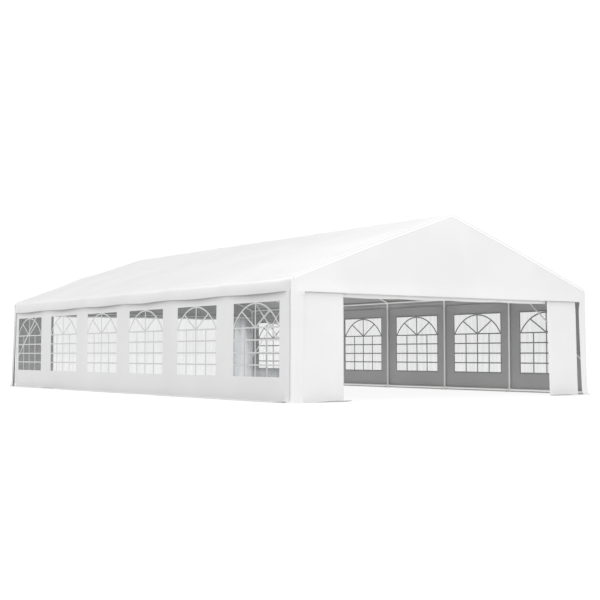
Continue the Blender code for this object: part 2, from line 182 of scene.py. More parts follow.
def coated_cloth(name, base, mottle, roughness):
    """Woven polyethylene tape cloth, laminated on both faces.

    The film over the tapes gives it a satin shine, and the tapes a fine square
    ripple. They are 2.5 mm wide, which is too fine to show, so they are drawn 12 mm
    wide and faint. Handling leaves soft dents a hand to a forearm across.
    """
    material, tree, shader = new_material(name, Roughness=roughness, IOR=1.51, Specular_IOR_Level=0.34)
    place = add_node(tree, "TexCoord")
    weave = []
    for direction in "XY":
        weave.append(add_node(tree, "TexWave", {"Scale": 2 * pi / (20 * WEAVE_PERIOD), "Distortion": 0.0},
                              {"Vector": place.outputs["UV"]}, bands_direction=direction))
    tapes = add_node(tree, "Math", operation="MULTIPLY",
                     links={0: weave[0].outputs["Fac"], 1: weave[1].outputs["Fac"]})
    dents = add_node(tree, "TexNoise", {"Scale": 5.0, "Detail": 3.0, "Roughness": 0.55},
                     {"Vector": place.outputs["Object"]})
    tone = add_node(tree, "TexNoise", {"Scale": 0.9, "Detail": 2.0},
                    {"Vector": place.outputs["Object"]})
    colour = add_node(tree, "ValToRGB", links={"Fac": tone.outputs["Fac"]})
    colour.color_ramp.elements[0].position = 0.35
    colour.color_ramp.elements[0].color = linear(mottle)
    colour.color_ramp.elements[1].position = 0.65
    colour.color_ramp.elements[1].color = linear(base)
    fine = add_node(tree, "Bump", {"Strength": 0.12, "Distance": 0.0008},
                    {"Height": tapes.outputs[0]})
    soft = add_node(tree, "Bump", {"Strength": 0.35, "Distance": 0.006},
                    {"Height": dents.outputs["Fac"], "Normal": fine.outputs["Normal"]})
    tree.links.new(colour.outputs["Color"], shader.inputs["Base Color"])
    tree.links.new(soft.outputs["Normal"], shader.inputs["Normal"])
    return material


def film_patch(tree, place, centre, reach, change):
    """A value that is change round a centre and fades to nothing at its reach."""
    scale = Vector([1 / length for length in reach])
    moved = add_node(tree, "VectorMath", {1: scale, 2: -Vector(centre) * scale}, {0: place},
                     operation="MULTIPLY_ADD")
    far = add_node(tree, "VectorMath", links={0: moved.outputs["Vector"]}, operation="LENGTH")
    fade = add_node(tree, "MapRange", {"From Min": 0.45, "To Min": change, "To Max": 0.0},
                    {"Value": far.outputs["Value"]})
    return fade.outputs["Result"]


def clear_film(name):
    """Clear PVC film, calendered: glossy, and a little hazy in streaks along the way it was drawn.

    Where a pane was folded it is white and pleated, and some panes are clearer than
    the others.
    """
    material, tree, shader = new_material(name, Roughness=0.12, IOR=1.53, Specular_IOR_Level=0.3)
    place = add_node(tree, "TexCoord").outputs["Object"]
    drawn = add_node(tree, "Mapping", {"Scale": (7.0, 7.0, 0.8)}, {"Vector": place})
    streaks = add_node(tree, "TexNoise", {"Scale": 1.6, "Detail": 4.0, "Roughness": 0.6},
                       {"Vector": drawn.outputs["Vector"]})
    hazy = {"From Min": 0.3, "From Max": 0.75, "To Min": 0.12, "To Max": 0.19}
    haze = add_node(tree, "MapRange", hazy, {"Value": streaks.outputs["Fac"]}).outputs["Result"]
    folded = add_node(tree, "Mapping", {"Scale": (9.0, 9.0, 1.0)}, {"Vector": place})
    pleats = add_node(tree, "TexNoise", {"Scale": 1.0, "Detail": 1.5}, {"Vector": folded.outputs["Vector"]})
    creased = add_node(tree, "MapRange", {"From Min": 0.3, "From Max": 0.7, "To Min": 0.4},
                       {"Value": pleats.outputs["Fac"]}).outputs["Result"]
    folds = [film_patch(tree, place, *fold) for fold in FOLDED_FILM]
    fold = add_node(tree, "Math", links=dict(enumerate(folds)), operation="ADD").outputs[0]
    fold = add_node(tree, "Math", links={0: fold, 1: creased}, operation="MULTIPLY").outputs[0]
    for change in [fold] + [film_patch(tree, place, *patch) for patch in CLEAREST_FILM]:
        haze = add_node(tree, "Math", links={0: haze, 1: change}, operation="ADD").outputs[0]
    colour = add_node(tree, "ValToRGB", links={"Fac": fold})
    colour.color_ramp.elements[0].color = linear("#7E8284")
    colour.color_ramp.elements[1].position = 0.3
    colour.color_ramp.elements[1].color = linear("#D6D9DB")
    waves = add_node(tree, "Bump", {"Strength": 0.4, "Distance": 0.004},
                     {"Height": streaks.outputs["Fac"]})
    tree.links.new(colour.outputs["Color"], shader.inputs["Base Color"])
    tree.links.new(haze, shader.inputs["Alpha"])
    tree.links.new(waves.outputs["Normal"], shader.inputs["Normal"])
    return material


def powder_coat(name):
    """White polyester powder coat baked on steel tube: even, with a faint orange peel.

    The peel is 2 to 3 mm across, and it is drawn 8 mm across so that it shows.
    """
    material, tree, shader = new_material(name, Roughness=0.34, IOR=1.5)
    place = add_node(tree, "TexCoord")
    peel = add_node(tree, "TexNoise", {"Scale": 125.0, "Detail": 1.0}, {"Vector": place.outputs["Object"]})
    tone = add_node(tree, "TexNoise", {"Scale": 3.0, "Detail": 3.0}, {"Vector": place.outputs["Object"]})
    colour = add_node(tree, "ValToRGB", links={"Fac": tone.outputs["Fac"]})
    colour.color_ramp.elements[0].color = linear("#EEEEEC")
    colour.color_ramp.elements[1].color = linear("#F6F6F4")
    bump = add_node(tree, "Bump", {"Strength": 0.15, "Distance": 0.0006}, {"Height": peel.outputs["Fac"]})
    tree.links.new(colour.outputs["Color"], shader.inputs["Base Color"])
    tree.links.new(bump.outputs["Normal"], shader.inputs["Normal"])
    return material


def zinc_plate(name):
    """Bright zinc plating on steel bolts: a bluish metal with cloudy patches."""
    material, tree, shader = new_material(name, Metallic=1.0)
    place = add_node(tree, "TexCoord")
    cloud = add_node(tree, "TexNoise", {"Scale": 60.0, "Detail": 3.0}, {"Vector": place.outputs["Object"]})
    colour = add_node(tree, "ValToRGB", links={"Fac": cloud.outputs["Fac"]})
    colour.color_ramp.elements[0].color = linear("#B4B8BB")
    colour.color_ramp.elements[1].color = linear("#D3D6D8")
    gloss = add_node(tree, "MapRange", {"To Min": 0.28, "To Max": 0.42}, {"Value": cloud.outputs["Fac"]})
    tree.links.new(colour.outputs["Color"], shader.inputs["Base Color"])
    tree.links.new(gloss.outputs["Result"], shader.inputs["Roughness"])
    return material


OUTER_CLOTH = coated_cloth("polyethylene_cloth_outside", "#D0D0D0", "#CCCCCC", 0.4)
# Painted shade: the inside face of the cloth is drawn mid grey for the dim light inside the tent and under
# the flaps
INNER_CLOTH_PAINTED_SHADE = coated_cloth("polyethylene_cloth_inside_painted_shade", "#A8A8A8", "#A2A2A2", 0.5)
# Painted light: the same inside cloth drawn a lighter grey for the valance's inner face, for the daylight
# that reaches it
VALANCE_INSIDE_PAINTED_LIGHT = coated_cloth("polyethylene_cloth_inside_painted_daylight", "#C6C6C6", "#C0C0C0", 0.5)
# Binding tape over each rake, partly real and partly painted highlight: it is drawn whiter than the cloth for
# the bright line of light along the rake
BINDING_TAPE_AND_PAINTED_HIGHLIGHT = coated_cloth("polyester_binding_tape_and_painted_highlight", "#E8E8E8", "#E4E4E4", 0.45)
STRIP = coated_cloth("pvc_window_strip", "#BCBCBC", "#B8B8B8", 0.4)
WINDOW_FILM = clear_film("clear_pvc_film")
STEEL = powder_coat("powder_coated_steel")
ZINC = zinc_plate("zinc_plated_bolts")


# Making and placing pieces

def finish_piece(name, shape, materials, replaced=(), smooth_below=40):
    """Turn a bmesh into a piece that rides on the tent, with its free and steeper edges sharp."""
    mesh = bpy.data.meshes.new(name)
    for face in shape.faces:
        face.smooth = True
    for edge in shape.edges:
        edge.smooth = edge.is_manifold and edge.calc_face_angle() < radians(smooth_below)
    shape.to_mesh(mesh)
    shape.free()
    for material in materials:
        mesh.materials.append(material)
    piece = bpy.data.objects.new(name, mesh)
    bpy.context.scene.collection.objects.link(piece)
    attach(piece, "root")
    if replaced:
        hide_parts(*replaced)
    return piece


def ripple(a, b, seed):
    """Smooth noise from -1 to 1 over two measures."""
    return noise.noise(Vector((a, b, seed)))


def ease(value, low, high):
    """0 below low, 1 above high and a smooth rise between."""
    share = min(max((value - low) / (high - low), 0), 1)
    return share * share * (3 - 2 * share)


def spread(low, high, count):
    """Evenly spaced values from low to high, both included."""
    return [low + (high - low) * index / count for index in range(count + 1)]


def merged(*groups):
    """All the values in order, without those closer than 4 mm to one before."""
    values = []
    for value in sorted(value for group in groups for value in group):
        if not values or value - values[-1] > 0.004:
            values.append(value)
    return values


def eave_point(offset, share):
    """A point on the bend at the right eave, from the post (0) to the rafter (1)."""
    angle = share * EAVE_TURN
    return EAVE_CENTRE + (BEND_RADIUS + offset) * Vector((cos(angle), sin(angle)))


def ridge_point(offset, share):
    """A point on the bend at the ridge, from the right rafter (0) to the middle (1)."""
    angle = pi / 2 - UPPER_PITCH * (1 - share)
    return RIDGE_CENTRE + (BEND_RADIUS + offset) * Vector((cos(angle), sin(angle)))


def middle_point(offset):
    """The point above the purlin that runs halfway up the right slope."""
    normal = Vector((sin(LOWER_PITCH) + sin(UPPER_PITCH), cos(LOWER_PITCH) + cos(UPPER_PITCH)))
    return Vector((MID_X, MID_HEIGHT)) + offset * normal.normalized()


# Steel frame

def add_tube(shape, path, across, sides=ROUND_SIDES):
    """Skin a tube along points (x, y, z, half depth, half width).

    across is a direction that no stretch of the path runs along. The half width is
    measured along it, and the half depth at right angles to it.
    """
    rings = []
    across = Vector(across)
    for index, point in enumerate(path):
        before = Vector(path[max(index - 1, 0)][:3])
        after = Vector(path[min(index + 1, len(path) - 1)][:3])
        run = (after - before).normalized()
        deep = run.cross(across).normalized()
        wide = deep.cross(run).normalized()
        centre = Vector(point[:3])
        ring = []
        for step in range(sides):
            angle = 2 * pi * step / sides
            spoke = cos(angle) * point[3] * deep + sin(angle) * point[4] * wide
            ring.append(shape.verts.new(centre + spoke))
        rings.append(ring)
    made = []
    for lower, upper in zip(rings, rings[1:]):
        for step in range(sides):
            after = (step + 1) % sides
            made.append(shape.faces.new((lower[step], lower[after], upper[after], upper[step])))
    made.append(shape.faces.new(rings[0]))
    made.append(shape.faces.new(rings[-1]))
    bmesh.ops.recalc_face_normals(shape, faces=made)


def straight(start, end, radius, chamfer=0.0015):
    """The path of a round bar with its two end edges broken."""
    start = Vector(start)
    end = Vector(end)
    step = (end - start).normalized() * chamfer
    small = radius - chamfer
    return [
        (*start, small, small),
        (*(start + step), radius, radius),
        (*(end - step), radius, radius),
        (*end, small, small),
    ]


def add_plate(shape, low, high, holes, corner=0.008):
    """A flat plate with rounded corners and round holes (x, y, radius)."""
    loops = []
    outline = []
    for index in range(4):
        x = (low[0] + corner, high[0] - corner)[index in (0, 3)]
        y = (low[1] + corner, high[1] - corner)[index in (0, 1)]
        for step in range(5):
            angle = (index + step / 4) * pi / 2
            outline.append((x + corner * cos(angle), y + corner * sin(angle)))
    loops.append(outline)
    for x, y, radius in holes:
        loops.append([(x + radius * cos(a), y + radius * sin(a)) for a in spread(0, 2 * pi, 16)[:-1]])
    edges = []
    for loop in loops:
        ring = [shape.verts.new((x, y, low[2])) for x, y in loop]
        edges += [shape.edges.new((ring[i - 1], ring[i])) for i in range(len(ring))]
    faces = bmesh.ops.triangle_fill(shape, use_beauty=True, edges=edges)["geom"]
    faces = [item for item in faces if isinstance(item, bmesh.types.BMFace)]
    raised = bmesh.ops.extrude_face_region(shape, geom=faces)["geom"]
    verts = [item for item in raised if isinstance(item, bmesh.types.BMVert)]
    bmesh.ops.translate(shape, vec=(0, 0, high[2] - low[2]), verts=verts)
    bmesh.ops.recalc_face_normals(shape, faces=shape.faces)


def sleeve_ends(index):
    """How far the sleeves of a frame reach along Y, lowest and highest."""
    if index == 0:
        return -END_SLEEVE_OUT, END_SLEEVE_IN
    if index == BAYS:
        return -END_SLEEVE_IN, END_SLEEVE_OUT
    return -SLEEVE_HALF, SLEEVE_HALF


def add_sleeve(shape, x, y, z, index):
    """A sleeve along Y for a purlin or a ground bar."""
    low, high = sleeve_ends(index)
    add_tube(shape, straight((x, y + low, z), (x, y + high, z), SLEEVE_RADIUS, 0.002), (0, 0, 1))


def ring_points(points, y, radius):
    """The path of a round tube of even radius across the tent."""
    return [(x, y, z, radius, radius) for x, z in points]


def add_posts():
    """Posts with foot plate and weld, bent over at the eave to take the roof frame."""
    rise = Vector((-cos(LOWER_PITCH), sin(LOWER_PITCH)))
    bend = [eave_point(0, share) for share in spread(0, 1, 10)]
    lip = bend[-1] + rise * SLEEVE_LENGTH
    for index, y in enumerate(FRAME_PLACES):
        for side_name, side in SIDES:
            x = side * FRAME_HALF_WIDTH
            shape = bmesh.new()
            foot = [(FOOT_THICKNESS, 0.0235), (FOOT_THICKNESS + 0.003, 0.0215), (0.012, TUBE_RADIUS)]
            path = [(x, y, z, radius, radius) for z, radius in foot]
            socket = [
                (SOCKET_BOTTOM, TUBE_RADIUS),
                (SOCKET_BOTTOM + 0.0005, SLEEVE_RADIUS - 0.0015),
                (SOCKET_BOTTOM + 0.002, SLEEVE_RADIUS),
            ]
            path += [(x, y, z, radius, radius) for z, radius in socket]
            path += ring_points([(side * point.x, point.y) for point in bend], y, SLEEVE_RADIUS)
            near = lip - rise * 0.002
            path.append((side * near.x, y, near.y, SLEEVE_RADIUS, SLEEVE_RADIUS))
            path.append((side * lip.x, y, lip.y, SLEEVE_RADIUS - 0.0015, SLEEVE_RADIUS - 0.0015))
            add_tube(shape, path, (0, 1, 0))
            add_sleeve(shape, x, y, GROUND_BAR_HEIGHT, index)
            eave = eave_point(0, 0.5)
            add_sleeve(shape, side * eave.x, y, eave.y, index)
            low_y = {0: -FOOT_EDGE, BAYS: FOOT_EDGE - FOOT_SIZE}.get(index, -FOOT_SIZE / 2) + y
            near_x = side * (FRAME_HALF_WIDTH + FOOT_EDGE - FOOT_SIZE)
            far_x = side * (FRAME_HALF_WIDTH + FOOT_EDGE)
            low = (min(near_x, far_x), low_y, 0.0)
            high = (max(near_x, far_x), low_y + FOOT_SIZE, FOOT_THICKNESS)
            inner_x = side * (FRAME_HALF_WIDTH + FOOT_EDGE - FOOT_SIZE + 0.016)
            holes = [(inner_x, low_y + FOOT_SIZE - 0.016, 0.006), (inner_x, low_y + 0.016, 0.006)]
            add_plate(shape, low, high, holes)
            finish_piece(f"{side_name}_upright_{index + 1}", shape, [STEEL],
                         [f"{side_name}_post_{index + 1}"])


def add_roof_frames():
    """Pairs of rafters with a bend at the ridge and sleeves for three purlins."""
    rise = Vector((-cos(LOWER_PITCH), sin(LOWER_PITCH)))
    start = eave_point(0, 1) + rise * (SLEEVE_LENGTH - 0.02)
    corner = ridge_point(0, 0)
    down = Vector((cos(UPPER_PITCH), -sin(UPPER_PITCH)))
    half = [(start, TUBE_RADIUS), (middle_point(0), TUBE_RADIUS)]
    for reach, radius in ((SLEEVE_LENGTH + 0.0005, TUBE_RADIUS), (SLEEVE_LENGTH, SLEEVE_RADIUS - 0.0015),
                          (SLEEVE_LENGTH - 0.002, SLEEVE_RADIUS), (0, SLEEVE_RADIUS)):
        half.append((corner + down * reach, radius))
    half += [(ridge_point(0, share), SLEEVE_RADIUS) for share in (0.25, 0.5, 0.75)]
    top = [(ridge_point(0, 1), SLEEVE_RADIUS)]
    line = [(-point.x, point.y, radius) for point, radius in half]
    line += [(point.x, point.y, radius) for point, radius in top + half[::-1]]
    for index, y in enumerate(FRAME_PLACES):
        shape = bmesh.new()
        add_tube(shape, [(x, y, z, radius, radius) for x, z, radius in line], (0, 1, 0))
        for x, z in ((-MID_X, MID_HEIGHT), (MID_X, MID_HEIGHT), ridge_point(0, 1)):
            add_sleeve(shape, x, y, z, index)
        finish_piece(f"rafters_{index + 1}", shape, [STEEL], [f"roof_frame_{index + 1}"])


def add_long_tubes():
    """Purlins and ground bars, laid end to end through the sleeves."""
    eave = eave_point(0, 0.5)
    ridge = ridge_point(0, 1)
    axes = [("ridge_purlin", ridge.x, ridge.y)]
    for side_name, side in SIDES:
        axes.append((f"{side_name}_eave_purlin", side * eave.x, eave.y))
        axes.append((f"{side_name}_slope_purlin", side * MID_X, MID_HEIGHT))
        axes.append((f"{side_name}_ground_bar", side * FRAME_HALF_WIDTH, GROUND_BAR_HEIGHT))
    for name, x, z in axes:
        shape = bmesh.new()
        for y in FRAME_PLACES[:-1]:
            run = straight((x, y + 0.001, z), (x, y + BAY - 0.001, z), TUBE_RADIUS)
            add_tube(shape, run, (0, 0, 1))
        finish_piece(f"{name}_tubes", shape, [STEEL], [name])


def add_crossbars():
    """The bar over each doorway, with a collar at either post."""
    reach = FRAME_HALF_WIDTH - TUBE_RADIUS * 0.5
    for end_name, end in ENDS:
        name = f"{end_name}_crossbar"
        shape = bmesh.new()
        y = end * HALF_LENGTH
        run = straight((-reach, y, CROSSBAR_HEIGHT), (reach, y, CROSSBAR_HEIGHT), CROSSBAR_RADIUS)
        add_tube(shape, run, (0, 0, 1))
        for side in (-1, 1):
            collar = straight((side * (reach - 0.05), y, CROSSBAR_HEIGHT), (side * reach, y, CROSSBAR_HEIGHT),
                              CROSSBAR_RADIUS + 0.003)
            add_tube(shape, collar, (0, 0, 1))
        finish_piece(f"{name}_tube", shape, [STEEL], [name])


def brace_ends(side, end):
    """The foot on the corner post and the head on the eave purlin."""
    inset = TUBE_RADIUS + BRACE_RADIUS
    eave = eave_point(0, 0.5)
    foot = Vector((side * (FRAME_HALF_WIDTH - inset), end * HALF_LENGTH, BRACE_FOOT))
    head = Vector((side * (eave.x - inset), end * (HALF_LENGTH - BRACE_RUN), eave.y))
    return foot, head


def add_braces():
    """Each brace is a tube with both ends pressed flat for its bolt."""
    for end_name, end in ENDS:
        for side_name, side in SIDES:
            name = f"{end_name}_{side_name}_brace"
            foot, head = brace_ends(side, end)
            along = (head - foot).normalized()
            flat = (0.0035, 0.018)
            full = (BRACE_RADIUS, BRACE_RADIUS)
            path = []
            for place, section in ((foot - along * 0.018, (0.003, 0.011)), (foot - along * 0.012, flat),
                                   (foot + along * 0.022, flat), (foot + along * 0.07, full),
                                   (head - along * 0.07, full), (head - along * 0.022, flat),
                                   (head + along * 0.012, flat), (head + along * 0.018, (0.003, 0.011))):
                path.append((*place, *section))
            across = (0, along.z, -along.y)
            shape = bmesh.new()
            add_tube(shape, path, across)
            finish_piece(f"{name}_tube", shape, [STEEL], [name])


def add_bolt(shape, centre, axis, reach):
    """A bolt through two tubes: domed head, shank, washer and nut."""
    axis = Vector(axis).normalized()
    across = (0, 1, 0) if abs(axis.y) < 0.9 else (0, 0, 1)
    centre = Vector(centre)
    head = centre + axis * reach
    tail = centre - axis * reach
    dome = [(0.0, 0.0075), (0.0015, 0.0075), (0.0035, 0.006), (0.0048, 0.003)]
    add_tube(shape, [(*(head + axis * h), r, r) for h, r in dome], across, 16)
    washer = [(0.0, 0.008), (0.0015, 0.008)]
    add_tube(shape, [(*(tail - axis * h), r, r) for h, r in washer], across, 16)
    nut = [(0.0015, 0.0062), (0.007, 0.0062)]
    add_tube(shape, [(*(tail - axis * h), r, r) for h, r in nut], across, 6)
    add_tube(shape, [(*(tail - axis * h), 0.003, 0.003) for h in (0.007, 0.011)], across, 12)


def add_bolts():
    """Every sleeve but the ground bars' is pinned to the tube in it."""
    rise = Vector((-cos(LOWER_PITCH), sin(LOWER_PITCH)))
    mid_rafter = eave_point(0, 1) + rise * SLEEVE_LENGTH * 0.6
    ridge_side = ridge_point(0, 0) + Vector((cos(UPPER_PITCH), -sin(UPPER_PITCH))) * SLEEVE_LENGTH * 0.6
    eave = eave_point(0, 0.5)
    ridge = ridge_point(0, 1)
    for index, y in enumerate(FRAME_PLACES):
        shape = bmesh.new()
        low, high = sleeve_ends(index)
        lips = [place for place in (low + 0.025, high - 0.025) if abs(place) > 0.03]
        for side in (-1, 1):
            socket = (side * FRAME_HALF_WIDTH, y, SOCKET_BOTTOM + 0.05)
            add_bolt(shape, socket, (0, 1, 0), SLEEVE_RADIUS)
            add_bolt(shape, (side * mid_rafter.x, y, mid_rafter.y), (0, 1, 0), SLEEVE_RADIUS)
            add_bolt(shape, (side * ridge_side.x, y, ridge_side.y), (0, 1, 0), SLEEVE_RADIUS)
            for place in lips:
                add_bolt(shape, (side * eave.x, y + place, eave.y), (side, 0, -1), SLEEVE_RADIUS - 0.004)
                add_bolt(shape, (side * MID_X, y + place, MID_HEIGHT), (-side, 0, 0.2), SLEEVE_RADIUS)
        for place in lips:
            add_bolt(shape, (ridge.x, y + place, ridge.y), (1, 0, 0), SLEEVE_RADIUS)
        finish_piece(f"bolts_{index + 1}", shape, [ZINC])
    shape = bmesh.new()
    for _, end in ENDS:
        for _, side in SIDES:
            for place in brace_ends(side, end):
                add_bolt(shape, place, (-side, 0, 0), 0.006)
    finish_piece("brace_bolts", shape, [ZINC])


# Cloth

def add_sheet(name, rows, columns, place, keep, facing, replaced, materials=None,
              thickness=CLOTH, finish=None):
    """Make a sheet over a grid, with its inner face in the next material: by default the grey inside cloth,
    whose grey is painted shade.

    place gives the point of a row and a column, keep says which cells there are, and
    facing is the side of the outer face. finish gives the number of a cell's outer
    material, and the one after it is for the inner face.
    """
    shape = bmesh.new()
    uv = shape.loops.layers.uv.new("cloth")
    grid = {}

    def vertex(i, j):
        if (i, j) not in grid:
            grid[i, j] = shape.verts.new(place(rows[i], columns[j]))
        return grid[i, j]

    total = Vector()
    for i in range(len(rows) - 1):
        for j in range(len(columns) - 1):
            row = (rows[i] + rows[i + 1]) / 2
            column = (columns[j] + columns[j + 1]) / 2
            if not keep(row, column):
                continue
            corners = ((i, j), (i, j + 1), (i + 1, j + 1), (i + 1, j))
            face = shape.faces.new([vertex(*corner) for corner in corners])
            for loop, corner in zip(face.loops, corners):
                loop[uv].uv = (columns[corner[1]], rows[corner[0]])
            if finish:
                face.material_index = finish(row, column)
            face.normal_update()
            total += face.normal * face.calc_area()
    if total.dot(Vector(facing)) < 0:
        bmesh.ops.reverse_faces(shape, faces=shape.faces)
    piece = finish_piece(name, shape, materials or [OUTER_CLOTH, INNER_CLOTH_PAINTED_SHADE],
                         replaced, 60)
    solid = piece.modifiers.new("thickness", "SOLIDIFY")
    solid.thickness = thickness
    solid.offset = -1.0
    solid.material_offset = 1
    return piece


def bay_share(y):
    """Where along its bay a point lies, from 0 at one frame to 1 at the next."""
    return (y + HALF_LENGTH) / BAY % 1.0


def cover_station(line):
    """The right half of the cover's section: x, z, normal and sag weight.

    line runs from 0 at the valance's hem, to 1 and 2 at the eave bend's ends, to 3 at
    the middle purlin, to 4 at the ridge bend and to 5 at the ridge.
    """
    if line <= 1:
        top = EAVE_CENTRE.y
        height = VALANCE_BOTTOM + (top - VALANCE_BOTTOM) * line
        x = FRAME_HALF_WIDTH + COVER_OFFSET + 0.0035
        return Vector((x, height)), Vector((1, 0)), 0.0
    if line <= 2:
        share = line - 1
        offset = COVER_OFFSET + 0.0035 * (1 - share)
        angle = share * EAVE_TURN
        return eave_point(offset, share), Vector((cos(angle), sin(angle))), 0.0
    if line <= 3:
        share = line - 2
        point = eave_point(COVER_OFFSET, 1).lerp(middle_point(COVER_OFFSET), share)
        return point, Vector((sin(LOWER_PITCH), cos(LOWER_PITCH))), sin(pi * share)
    if line <= 4:
        share = line - 3
        point = middle_point(COVER_OFFSET).lerp(ridge_point(COVER_OFFSET, 0), share)
        return point, Vector((sin(UPPER_PITCH), cos(UPPER_PITCH))), sin(pi * share)
    share = line - 4
    angle = pi / 2 - UPPER_PITCH * (1 - share)
    return ridge_point(COVER_OFFSET, share), Vector((cos(angle), sin(angle))), 0.0


def sleeve_lift(x, y):
    """How far the cover rides up over the middle purlin's sleeves at the back gable."""
    return SLEEVE_LIFT * exp(-((abs(x) - MID_X) / 0.35) ** 2) * ease(y, 4.9, HALF_LENGTH)


def cover_point(line, run):
    """A point of the roof cover. line is negative on the left half, run is along Y.

    Past the end frame the cloth turns over the rafter and hangs down in front of the
    gable.
    """
    side = -1 if line < 0 else 1
    station = 5 - abs(line)
    point, normal, sag = cover_station(station)
    drop = max(2 - station, 0)
    hem = max(drop - 1, 0)
    end = 1 if run > 0 else -1
    past = max(abs(run) - HALF_LENGTH, 0)
    turn = min(past / RAKE_RADIUS, pi / 2)
    y = run if past == 0 else end * (HALF_LENGTH + RAKE_RADIUS * sin(turn))
    sink = RAKE_RADIUS * (1 - cos(turn)) + max(past - RAKE_RADIUS * pi / 2, 0)
    share = bay_share(y)
    inside = ease(HALF_LENGTH - abs(y), 0.0, 0.15)
    belly = sin(pi * share) ** 1.5 * inside
    nearest = min(share, 1 - share) * BAY
    lift = FRAME_LIFT * exp(-(nearest / 0.14) ** 2) * inside * (1 - hem)
    lift += sleeve_lift(point.x, y) - COVER_SAG * sag * belly
    loose = 0.35 + 0.65 * sag
    lift += 0.007 * loose * inside * ripple(side * point.x * 0.9, y * 0.8, 3.1)
    lift += 0.003 * loose * inside * ripple(side * point.x * 3.0, y * 1.7, 7.7)
    flat_end = ease(HALF_LENGTH - abs(y), 0.02, 0.25)
    flare = sin(pi / 2 * drop / 1.55) ** 2 * flat_end * VALANCE_FLARE * (0.55 + 0.45 * sin(pi * share))
    flare += 0.008 * hem * flat_end * ripple(y * 2.3, side, 5.5)
    wrap = 1 - 0.85 * ease(normal.x, 0.6, 0.95)
    place = point + normal * (lift + flare - sink * wrap)
    if past > 0:
        y = end * (HALF_LENGTH + abs(abs(y) - HALF_LENGTH) * wrap)
    place.y -= VALANCE_DIP * hem ** 0.5 * belly * flat_end
    place.y += 0.004 * hem * flat_end * ripple(y * 1.9, side, 9.5)
    return Vector((side * place.x, y, place.y))


def add_roof_cover():
    """One sheet over both slopes and down each long side, bound with tape at the gables; the tape's whiter
    colour also paints the highlight along each rake.
    """
    half = merged(spread(0, 0.02, 1), spread(0, 0.3, 2), spread(0.3, 1, 3), spread(1, 2, 8),
                  spread(2, 3, 26), spread(3, 4, 26), spread(4, 5, 3))
    lines = sorted({5 - value for value in half} | {value - 5 for value in half})
    ends = [HALF_LENGTH + RAKE_RADIUS * pi / 2 * step / 6 for step in range(1, 7)]
    ends.append(ends[-1] + RAKE_HANG)
    runs = merged(spread(-HALF_LENGTH, HALF_LENGTH, 168), ends, [-value for value in ends])

    # Rake cells take the tape, whose whiter colour is partly painted highlight; the valance's inner face
    # takes the lighter inside cloth with daylight painted on, and the other inner faces the grey of painted
    # shade
    def finish(line, run):
        if abs(run) > HALF_LENGTH:
            return 4
        return 2 if abs(line) > 4 else 0

    def keep(line, run):
        return abs(run) < HALF_LENGTH + RAKE_RADIUS * pi / 2 * 0.6 or abs(line) < 4

    cover = add_sheet("roof_cloth", lines, runs, cover_point, keep, (0, 0, 1),
                      ["roof_cover"],
                      [OUTER_CLOTH, INNER_CLOTH_PAINTED_SHADE, OUTER_CLOTH, VALANCE_INSIDE_PAINTED_LIGHT, BINDING_TAPE_AND_PAINTED_HIGHLIGHT, INNER_CLOTH_PAINTED_SHADE],
                      finish=finish)


def cover_height(x):
    """The height of the cover over a point of the gable."""
    if abs(x) >= FRAME_HALF_WIDTH + COVER_OFFSET - 0.002:
        return EAVE_CENTRE.y
    low, high = 1.0, 5.0
    for _ in range(24):
        line = (low + high) / 2
        if cover_station(line)[0].x > abs(x):
            low = line
        else:
            high = line
    return cover_station(low)[0].y


def corner_plan(s):
    """Plan of the gable sheet's line: s from the middle, round the corner and along the side.

    Gives x, the distance from the tent's middle along Y, and the outward direction.
    """
    flat = CORNER_PLANE - CORNER_RADIUS
    side = -1 if s < 0 else 1
    far = abs(s)
    bend = CORNER_RADIUS * pi / 2
    if far <= flat:
        return s, GABLE_PLANE, Vector((0, 1))
    if far <= flat + bend:
        angle = (far - flat) / CORNER_RADIUS
        x = flat + CORNER_RADIUS * sin(angle)
        y = GABLE_PLANE - CORNER_RADIUS * (1 - cos(angle))
        return side * x, y, Vector((side * sin(angle), cos(angle)))
    return side * CORNER_PLANE, GABLE_PLANE - CORNER_RADIUS - (far - flat - bend), Vector((side, 0))


# Where a wall's flap lifts off the ground: middle, half width and height
LIFTS = {
    -1: ((-5.95, 0.35, 0.026), (3.55, 0.75, 0.03), (-1.2, 0.5, 0.01)),
    1: ((-2.1, 0.6, 0.022), (4.4, 0.5, 0.026), (0.9, 0.4, 0.012)),
}

# Each leg of a gable sheet: inner edge, lean of the edges at the ground, side strip's width
# and outer edge of the door panel behind it
LEGS = {
    ("front", -1): {"inner": 3.222, "lean": 0.03, "side": 0.17, "swing": 0.02, "panel": PANEL_OUTER},
    ("front", 1): {"inner": 3.284, "lean": 0.07, "side": 0.17, "swing": 0.02,
                   "panel": FRONT_RIGHT_PANEL_OUTER},
    ("back", -1): {"inner": 3.228, "lean": 0.03, "side": 0.10, "swing": 0.11, "panel": PANEL_OUTER},
    ("back", 1): {"inner": 3.228, "lean": 0.03, "side": 0.17, "swing": 0.03, "panel": PANEL_OUTER},
}


def panel_stand(end, side, outer, s, z):
    """How far a door panel's cloth stands out from its plane."""
    seed = 80 + 3 * end + side
    wave = 0.007 * (1 + ripple(s * 3.2, z * 0.6, seed + 0.5))
    wave += 0.003 * ripple(s * 9.0, z * 0.8, seed + 0.7)
    wave *= ease(PANEL_TOP - z, 0.05, 0.35)
    return wave * ease(s, outer, outer - 0.3) if outer == PANEL_OUTER else wave


